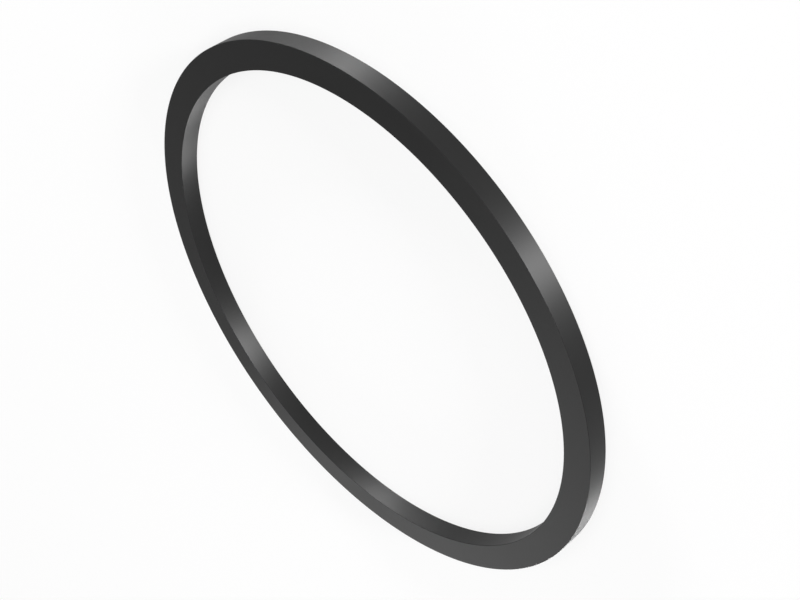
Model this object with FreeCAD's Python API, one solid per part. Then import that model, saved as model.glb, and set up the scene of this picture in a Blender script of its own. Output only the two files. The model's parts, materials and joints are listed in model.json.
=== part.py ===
"""Uncut backup ring of plain rectangular section, moulded in one piece from hard black nitrile rubber.

It sits beside an O-ring in its groove and closes the gap that the O-ring would be pressed into.
Here the ring closes a groove 2 mm deep: its bore slides over a 36 mm rod, and its outside
seats on the bottom of the groove in the housing. It lies on one flat side, as it rests on a bench.

Units are millimetres. The origin is the centre of the lower flat side, and +Z is the ring's axis.
"""

import FreeCAD
import Part

import math
import os

# Driving dimensions
BORE_DIAMETER = 36.0  # the rod that the ring goes round
RADIAL_SECTION = 2.0  # from the bore to the outside, which is the depth of the groove
RING_WIDTH = 1.4  # along the axis, which is what the ring takes of the groove's width
EDGE_RADIUS = 0.03  # the four trimmed edges are crisp, with only the sharpness taken off

PARTS_FOLDER = "parts"


def section_outline(bore_radius, outer_radius, width, edge_radius):
    """The ring's section in the XZ plane: a rectangle whose four corners are small arcs."""
    low, high = edge_radius, width - edge_radius
    near, far = bore_radius + edge_radius, outer_radius - edge_radius
    mid_arc = edge_radius * math.sqrt(0.5)

    def point(x, z):
        return FreeCAD.Vector(x, 0, z)

    def corner(centre_x, centre_z, out_x, out_z):
        """A quarter arc about a centre, bulging towards (out_x, out_z)."""
        ends = [
            point(centre_x + out_x * edge_radius, centre_z),
            point(centre_x, centre_z + out_z * edge_radius),
        ]
        middle = point(centre_x + out_x * mid_arc, centre_z + out_z * mid_arc)
        return Part.Arc(ends[0], middle, ends[1]).toShape()

    flat_sides_and_walls = [
        Part.makeLine(point(near, 0), point(far, 0)),
        Part.makeLine(point(outer_radius, low), point(outer_radius, high)),
        Part.makeLine(point(far, width), point(near, width)),
        Part.makeLine(point(bore_radius, high), point(bore_radius, low)),
    ]
    corners = [
        corner(far, low, 1, -1),
        corner(far, high, 1, 1),
        corner(near, high, -1, 1),
        corner(near, low, -1, -1),
    ]
    return Part.Wire(Part.__sortEdges__(flat_sides_and_walls + corners))


def backup_ring():
    """The section turned once round the axis."""
    bore_radius = BORE_DIAMETER / 2
    section = section_outline(
        bore_radius, bore_radius + RADIAL_SECTION, RING_WIDTH, EDGE_RADIUS
    )
    axis = FreeCAD.Vector(0, 0, 1)
    return Part.Face(section).revolve(FreeCAD.Vector(), axis, 360)


def main():
    os.makedirs(PARTS_FOLDER, exist_ok=True)
    ring = backup_ring()
    ring.exportStep(os.path.join(PARTS_FOLDER, "backup_ring.step"))
    print(f"backup_ring: {ring.ShapeType}, valid {ring.isValid()}, {ring.Volume:.2f} mm3")


main()
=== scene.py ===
"""Looks of an uncut backup ring of hard black rubber, which lies on one flat side on a pale studio floor.

The ring is one moulded piece of plain rectangular section. The mould was turned, so its marks run round
the ring, on the walls as well as on the flat sides. Lengths are in metres unless a name says otherwise,
and angles in degrees. The frame is the ring's own: the origin is the centre of the lower flat side, and
+Z is its axis.
"""

import sys

import json
import logging
import math
from dataclasses import dataclass
from enum import Enum

import bpy
from mathutils import Euler, Matrix, Vector


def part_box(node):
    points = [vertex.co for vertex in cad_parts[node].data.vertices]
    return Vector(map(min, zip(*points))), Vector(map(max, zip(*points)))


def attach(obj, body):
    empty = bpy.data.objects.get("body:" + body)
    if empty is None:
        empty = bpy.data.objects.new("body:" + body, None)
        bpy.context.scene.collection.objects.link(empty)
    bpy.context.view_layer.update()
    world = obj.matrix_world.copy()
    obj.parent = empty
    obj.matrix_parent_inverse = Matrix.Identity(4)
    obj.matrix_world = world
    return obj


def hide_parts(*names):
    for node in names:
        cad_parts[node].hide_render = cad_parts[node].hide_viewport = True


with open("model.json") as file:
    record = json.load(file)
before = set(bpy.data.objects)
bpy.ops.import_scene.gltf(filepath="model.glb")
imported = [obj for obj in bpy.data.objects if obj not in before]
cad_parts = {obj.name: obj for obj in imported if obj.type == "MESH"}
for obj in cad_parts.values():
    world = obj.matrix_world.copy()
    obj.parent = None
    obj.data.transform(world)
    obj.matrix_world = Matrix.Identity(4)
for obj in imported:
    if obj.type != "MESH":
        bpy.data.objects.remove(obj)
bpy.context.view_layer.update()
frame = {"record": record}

NODE = "backup_ring"
BODY = "root"
MM = 0.001
MICRON = 0.001 * MM
QUARTER_TURN = math.radians(90)
WHITE = 1.0
LAMP_WATTS = 4.0  # per square metre of lamp and step of brightness

log = logging.getLogger("scene")


class Face(Enum):
    """The kinds of face that the ring has, each with its place in the list of materials."""

    WALL = 0
    FLAT = 1


class Background(Enum):
    """The kinds of ray that see a plain background, by the names that Light Path gives them."""

    CAMERA = "Is Camera Ray"
    MIRRORED = "Is Glossy Ray"
    THROUGH = "Is Transmission Ray"


def deselect_all() -> None:
    """Leaves edit mode if it is on, and selects nothing."""
    if bpy.context.object is not None and bpy.context.object.mode != "OBJECT":
        bpy.ops.object.mode_set(mode="OBJECT")
    bpy.ops.object.select_all(action="DESELECT")


def grey(level: float) -> tuple[float, float, float, float]:
    """A neutral colour of one linear level, as a shader's socket takes it."""
    return (level, level, level, 1.0)


class NodeBench:
    """A node tree that is being wired up, with short calls for adding a node and joining two sockets."""

    def __init__(self, tree: bpy.types.NodeTree) -> None:
        """Takes a tree and clears it.

        Args:
            tree: the node tree of a material or a world.
        """
        self.tree = tree
        self.tree.nodes.clear()

    def add(self, kind: str, values: dict | None = None, **settings: object) -> bpy.types.Node:
        """Adds one node.

        Args:
            kind: the node's type, such as ShaderNodeMath.
            values: what each input socket gets, by its name or number. A socket is linked, and any other
                value is set.
            settings: the node's own settings, such as its operation.

        Returns:
            The new node.
        """
        node = self.tree.nodes.new(kind)
        for setting, value in settings.items():
            setattr(node, setting, value)
        for socket, value in (values or {}).items():
            if isinstance(value, bpy.types.NodeSocket):
                self.tree.links.new(value, node.inputs[socket])
            else:
                node.inputs[socket].default_value = value
        return node

    def math(self, operation: str, *values: object) -> bpy.types.NodeSocket:
        """Adds one Math node.

        Args:
            operation: what the node does with its values.
            values: numbers or sockets, in the node's order.

        Returns:
            The socket with the result.
        """
        return self.add("ShaderNodeMath", dict(enumerate(values)), operation=operation).outputs[0]

    def spread(self, value: bpy.types.NodeSocket, low: float, high: float) -> bpy.types.NodeSocket:
        """Turns a value from 0 to 1 into one from low to high.

        Args:
            value: the socket that is spread.
            low: the result at 0.
            high: the result at 1.

        Returns:
            The socket with the result.
        """
        sockets = {"Value": value, "To Min": low, "To Max": high}
        return self.add("ShaderNodeMapRange", sockets).outputs["Result"]

    def finish(self, shader: bpy.types.NodeSocket, kind: str = "ShaderNodeOutputMaterial") -> None:
        """Joins the finished shader to the tree's output.

        Args:
            shader: the shader's socket.
            kind: the output node's type.
        """
        self.add(kind, {"Surface": shader})


@dataclass(frozen=True)
class RubberFinish:
    """Hard black rubber as it leaves a turned mould: fine grain, faint marks round it, and a satin skin.

    The gleam of a wall is drawn out across its marks, and a flat side gleams alike in all directions.
    """

    name: str
    face: Face
    roughness: float
    anisotropy: float
    gleam_turn: float = 0.25  # of a whole turn, from round the ring to along its axis
    darkest: float = 0.001
    lightest: float = 0.003
    ior: float = 1.5
    roughness_spread: float = 0.04
    cloud_size: float = 2.5 * MM
    grain_size: float = 0.06 * MM
    grain_height: float = 0.9 * MICRON
    grain_detail: float = 3.0
    marks_pitch: float = 0.09 * MM
    marks_height: float = 0.9 * MICRON
    marks_detail: float = 2.0

    def across_the_marks(self, bench: NodeBench, place: bpy.types.NodeSocket) -> bpy.types.NodeSocket:
        """The distance across the marks: along the axis on a wall, and from the axis on a flat side.

        Args:
            bench: the material's nodes.
            place: the point on the ring.

        Returns:
            The socket with that distance.
        """
        axes = bench.add("ShaderNodeSeparateXYZ", {0: place})
        if self.face is Face.WALL:
            return axes.outputs["Z"]
        level = bench.add("ShaderNodeCombineXYZ", {"X": axes.outputs["X"], "Y": axes.outputs["Y"]})
        return bench.add("ShaderNodeVectorMath", {0: level.outputs[0]}, operation="LENGTH").outputs["Value"]

    def noise(self, bench: NodeBench, place: bpy.types.NodeSocket, size: float) -> bpy.types.NodeSocket:
        """A soft uneven pattern.

        Args:
            bench: the material's nodes.
            place: the point on the ring.
            size: how far apart its spots are.

        Returns:
            The socket with the pattern, from 0 to 1.
        """
        sockets = {"Vector": place, "Scale": 1 / size, "Detail": self.grain_detail}
        return bench.add("ShaderNodeTexNoise", sockets).outputs[0]

    def relief(self, bench: NodeBench, place: bpy.types.NodeSocket) -> bpy.types.NodeSocket:
        """The marks of the turned mould, with the rubber's grain over them.

        Args:
            bench: the material's nodes.
            place: the point on the ring.

        Returns:
            The socket with the bent normal.
        """
        across = self.across_the_marks(bench, place)
        lines = {"W": across, "Scale": 1 / self.marks_pitch, "Detail": self.marks_detail}
        marks = bench.add("ShaderNodeTexNoise", lines, noise_dimensions="1D").outputs[0]
        marked = bench.add("ShaderNodeBump", {"Height": marks, "Distance": self.marks_height})
        grain = self.noise(bench, place, self.grain_size)
        sockets = {"Height": grain, "Distance": self.grain_height, "Normal": marked.outputs[0]}
        return bench.add("ShaderNodeBump", sockets).outputs[0]

    def material(self) -> bpy.types.Material:
        """Makes the material.

        Returns:
            The material, named for the finish.
        """
        made = bpy.data.materials.new(self.name)
        made.use_nodes = True
        bench = NodeBench(made.node_tree)
        place = bench.add("ShaderNodeTexCoord").outputs["Object"]
        clouds = self.noise(bench, place, self.cloud_size)
        tone = bench.spread(clouds, self.darkest, self.lightest)
        half = self.roughness_spread / 2
        rubber = {
            "Base Color": bench.add("ShaderNodeCombineColor", {0: tone, 1: tone, 2: tone}).outputs[0],
            "Roughness": bench.spread(clouds, self.roughness - half, self.roughness + half),
            "Normal": self.relief(bench, place),
            "IOR": self.ior,
        }
        if self.anisotropy:
            rubber["Anisotropic"] = self.anisotropy
            rubber["Anisotropic Rotation"] = self.gleam_turn
            tangent = bench.add("ShaderNodeTangent", direction_type="RADIAL", axis="Z")
            rubber["Tangent"] = tangent.outputs[0]
        bench.finish(bench.add("ShaderNodeBsdfPrincipled", rubber).outputs[0])
        return made


@dataclass(frozen=True)
class BackupRing:
    """The ring itself, one piece: a rectangular section with trimmed edges, swept once round the axis.

    The flat sides are square to the axis and the walls run along it, both within the squareness. Of the
    arcs between them, the faces that lean in less than the wall's lean are finished as the wall is.
    """

    bore_radius: float
    outer_radius: float
    bottom: float
    top: float
    edge_radius: float = 0.03 * MM
    edge_steps: int = 5
    round_steps: int = 480
    seam: float = 0.3 * MICRON  # points that are closer than this become one
    squareness: float = 0.01
    wall_lean: float = 50.0
    wall: RubberFinish = RubberFinish("rubber_walls", Face.WALL, roughness=0.54, anisotropy=0.9)
    flat: RubberFinish = RubberFinish("rubber_flat_sides", Face.FLAT, roughness=0.38, anisotropy=0.0)

    @classmethod
    def from_frame(cls) -> "BackupRing":
        """Takes the ring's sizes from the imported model, and its bore from the mount of that name."""
        low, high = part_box(NODE)
        bore = next(m for m in frame["record"]["mounts"] if m["name"] == "rod_bore")
        return cls(bore["dims"]["r_mm"] * MM, high.x, low.z, high.z)

    @property
    def centre(self) -> Vector:
        """The middle of the ring, half way up its width."""
        return Vector((0.0, 0.0, (self.bottom + self.top) / 2))

    def section(self) -> bpy.types.Object:
        """Draws the section's outline beside the axis: a rectangle whose corners are small arcs.

        Returns:
            The outline, in edit mode.
        """
        middle = Vector(((self.bore_radius + self.outer_radius) / 2, 0.0, self.centre.z))
        deep, wide = self.outer_radius - self.bore_radius, self.top - self.bottom
        bpy.ops.mesh.primitive_plane_add(size=deep, enter_editmode=True)
        bpy.ops.transform.resize(value=(1.0, wide / deep, 1.0))
        bpy.ops.transform.rotate(value=-QUARTER_TURN, orient_axis="X", center_override=Vector())
        bpy.ops.transform.translate(value=middle)
        bpy.ops.mesh.bevel(offset=self.edge_radius, segments=self.edge_steps, affect="VERTICES")
        bpy.ops.mesh.delete(type="ONLY_FACE")
        return bpy.context.object

    def build(self) -> bpy.types.Object:
        """Models the ring as a closed mesh.

        Returns:
            The ring's object.
        """
        deselect_all()
        ring = self.section()
        ring.name = ring.data.name = "ring_of_hard_rubber"
        bpy.ops.mesh.select_all(action="SELECT")
        axis = Vector((0.0, 0.0, 1.0))
        bpy.ops.mesh.spin(steps=self.round_steps, angle=2 * math.pi, center=Vector(), axis=axis)
        bpy.ops.mesh.select_all(action="SELECT")
        bpy.ops.mesh.remove_doubles(threshold=self.seam)
        bpy.ops.mesh.normals_make_consistent(inside=False)
        self.mark_borders(ring)
        bpy.ops.object.mode_set(mode="OBJECT")
        bpy.ops.object.shade_smooth()
        return ring

    def mark_borders(self, ring: bpy.types.Object) -> None:
        """Marks where the walls and flat sides meet the edges' arcs, so that each is shaded evenly up to it.

        Args:
            ring: the ring's object, in edit mode.
        """
        bpy.ops.mesh.select_mode(type="FACE")
        bpy.ops.mesh.select_all(action="DESELECT")
        bpy.ops.object.mode_set(mode="OBJECT")
        for polygon in ring.data.polygons:
            upright, level = abs(polygon.normal.z), polygon.normal.xy.length
            polygon.select = min(upright, level) < self.squareness
        bpy.ops.object.mode_set(mode="EDIT")
        bpy.ops.mesh.region_to_loop()
        bpy.ops.mesh.mark_sharp()

    def dress(self, ring: bpy.types.Object) -> None:
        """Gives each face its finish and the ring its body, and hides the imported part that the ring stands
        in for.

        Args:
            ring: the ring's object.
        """
        for finish in (self.wall, self.flat):
            ring.data.materials.append(finish.material())
        for polygon in ring.data.polygons:
            flat = abs(polygon.normal.z) > math.sin(math.radians(self.wall_lean))
            polygon.material_index = Face.FLAT.value if flat else Face.WALL.value
        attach(ring, BODY)
        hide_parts(NODE)


@dataclass(frozen=True)
class LaidDownCamera:
    """The photograph's camera.

    The photograph has the ring upright, and looks down on it from one side of its axis. The ring lies flat
    here, so the camera is laid down with it, by the same quarter turn, and sees the same of it.
    """

    lens_mm: float = 57.64
    film_width_mm: float = 36.0
    above_the_axis: float = 45.0
    beside_the_axis: float = 45.0
    distance: float = 85.5 * MM
    right_of_the_ring: float = 2.606 * MM
    over_the_ring: float = 1.122 * MM
    nearest_seen: float = 1 * MM
    farthest_seen: float = 20.0

    def turn(self) -> Matrix:
        """How the camera is turned.

        Returns:
            The turn from the camera's own axes to the ring's, with the camera in front, towards -Y.
        """
        tilt = QUARTER_TURN - math.radians(self.above_the_axis)
        beside_upright_ring = Euler((tilt, 0.0, math.radians(self.beside_the_axis)))
        laid_down = Matrix.Rotation(-QUARTER_TURN, 3, "X") @ beside_upright_ring.to_matrix()
        towards_camera = laid_down.col[2]
        to_the_front = -QUARTER_TURN - math.atan2(towards_camera.y, towards_camera.x)
        return Matrix.Rotation(to_the_front, 3, "Z") @ laid_down

    def build(self, centre: Vector) -> bpy.types.Object:
        """Sets the camera up.

        Args:
            centre: the middle of the ring.

        Returns:
            The camera's object.
        """
        bpy.ops.object.camera_add()
        camera = bpy.context.object
        camera.data.lens = self.lens_mm
        camera.data.sensor_width = self.film_width_mm
        camera.data.clip_start = self.nearest_seen
        camera.data.clip_end = self.farthest_seen
        turn = self.turn()
        from_ring = turn @ Vector((self.right_of_the_ring, self.over_the_ring, self.distance))
        camera.matrix_world = Matrix.Translation(centre + from_ring) @ turn.to_4x4()
        bpy.context.scene.camera = camera
        return camera


@dataclass(frozen=True)
class SoftLamp:
    """A flat soft lamp that stands off the ring and is turned to it.

    Its bearing is counted round the axis from +X, and its height from the floor. Its width and tall side
    are the angles that it spans, as seen from the ring.
    """

    name: str
    bearing: float
    height: float
    width: float
    tall: float
    brightness: float
    distance: float = 0.6

    def build(self) -> bpy.types.Object:
        """Sets the lamp up.

        Returns:
            The lamp's object.
        """
        bpy.ops.object.light_add(type="AREA")
        lamp = bpy.context.object
        lamp.name = lamp.data.name = self.name
        lamp.data.shape = "RECTANGLE"
        span = 2 * self.distance
        lamp.data.size = span * math.tan(math.radians(self.width / 2))
        lamp.data.size_y = span * math.tan(math.radians(self.tall / 2))
        lamp.data.energy = LAMP_WATTS * self.brightness * lamp.data.size * lamp.data.size_y
        bearing, height = math.radians(self.bearing), math.radians(self.height)
        level = math.cos(height)
        towards = Vector((level * math.cos(bearing), level * math.sin(bearing), math.sin(height)))
        turn = towards.to_track_quat("Z", "Y").to_matrix().to_4x4()
        lamp.matrix_world = Matrix.Translation(towards * self.distance) @ turn
        lamp.visible_camera = False
        return lamp


@dataclass(frozen=True)
class Studio:
    """A plain pale floor with soft lamps round it."""

    floor_size: float = 1.1
    floor_colour: float = 0.93
    floor_paleness: float = 0.8
    room_level: float = 0.23
    horizon_level: float = WHITE
    horizon_height: float = 14.0
    lamps: tuple[SoftLamp, ...] = (
        SoftLamp("front_left_lamp", -109.0, 5.0, 9.0, 9.0, 163.0),
        SoftLamp("right_lamp", -17.0, 5.0, 9.0, 9.0, 84.0),
        SoftLamp("wide_right_lamp", -10.0, 5.0, 48.0, 9.0, 10.0),
        SoftLamp("back_left_lamp", 153.0, 5.0, 9.0, 9.0, 56.0),
        SoftLamp("back_lamp", 128.0, 5.0, 12.0, 9.0, 26.0),
        SoftLamp("high_back_lamp", 102.0, 25.0, 20.0, 18.0, 0.85),
        SoftLamp("overhead_lamp", -90.0, 80.0, 80.0, 80.0, 0.76),
    )

    def build_floor(self) -> bpy.types.Object:
        """Lays the floor under the ring.

        Returns:
            The floor's object.
        """
        deselect_all()
        bpy.ops.mesh.primitive_plane_add(size=self.floor_size)
        floor = bpy.context.object
        floor.name = floor.data.name = "studio_floor"
        floor.data.materials.append(self.floor_material())
        return floor

    def floor_material(self) -> bpy.types.Material:
        """Makes the floor's finish.

        Returns:
            The material, matt and pale, lifted towards white where it is seen as the background.
        """
        made = bpy.data.materials.new("studio_floor")
        made.use_nodes = True
        bench = NodeBench(made.node_tree)
        rays = bench.add("ShaderNodeLightPath")
        camera, mirrored, through = (rays.outputs[ray.value] for ray in Background)
        seen = bench.math("ADD", bench.math("ADD", camera, mirrored), through)
        share = bench.math("MULTIPLY", bench.math("MINIMUM", seen, 1.0), self.floor_paleness)
        matt = bench.add("ShaderNodeBsdfDiffuse", {"Color": grey(self.floor_colour)}).outputs[0]
        white = bench.add("ShaderNodeEmission", {"Color": grey(WHITE), "Strength": 1.0}).outputs[0]
        bench.finish(bench.add("ShaderNodeMixShader", {0: share, 1: matt, 2: white}).outputs[0])
        return made

    def build_room(self) -> None:
        """Fills the room round the floor with a plain light, which is white low down and dimmer above."""
        room = bpy.data.worlds.new("studio_room")
        room.use_nodes = True
        bench = NodeBench(room.node_tree)
        direction = bench.add("ShaderNodeTexCoord").outputs["Generated"]
        height = bench.add("ShaderNodeSeparateXYZ", {0: direction}).outputs["Z"]
        fade = {"Value": height, "From Max": math.sin(math.radians(self.horizon_height))}
        fade.update({"To Min": self.horizon_level, "To Max": self.room_level})
        level = bench.add("ShaderNodeMapRange", fade, interpolation_type="SMOOTHSTEP").outputs["Result"]
        colour = bench.add("ShaderNodeCombineColor", {0: level, 1: level, 2: level}).outputs[0]
        light = bench.add("ShaderNodeBackground", {"Color": colour, "Strength": 1.0})
        bench.finish(light.outputs[0], "ShaderNodeOutputWorld")
        bpy.context.scene.world = room

    def build(self) -> None:
        """Builds the floor, the room and the lamps."""
        floor = self.build_floor()
        log.info("stage: %s, %.1f m square", floor.name, self.floor_size)
        self.build_room()
        for lamp in self.lamps:
            log.info("lamp: %s, %.3f W", lamp.name, lamp.build().data.energy)


def main() -> None:
    """Builds the camera, the ring and the studio round it, in that order, and reports each."""
    logging.basicConfig(level=logging.INFO, format="%(message)s", stream=sys.stdout)
    bpy.context.scene.view_settings.view_transform = "Standard"
    ring_sizes = BackupRing.from_frame()
    camera = LaidDownCamera().build(ring_sizes.centre)
    log.info("camera: %.2f mm lens, at %s", camera.data.lens, tuple(round(x, 4) for x in camera.location))
    ring = ring_sizes.build()
    ring_sizes.dress(ring)
    log.info("piece: %s, %d faces, on %s", ring.name, len(ring.data.polygons), BODY)
    Studio().build()


if __name__ == "__main__":
    main()
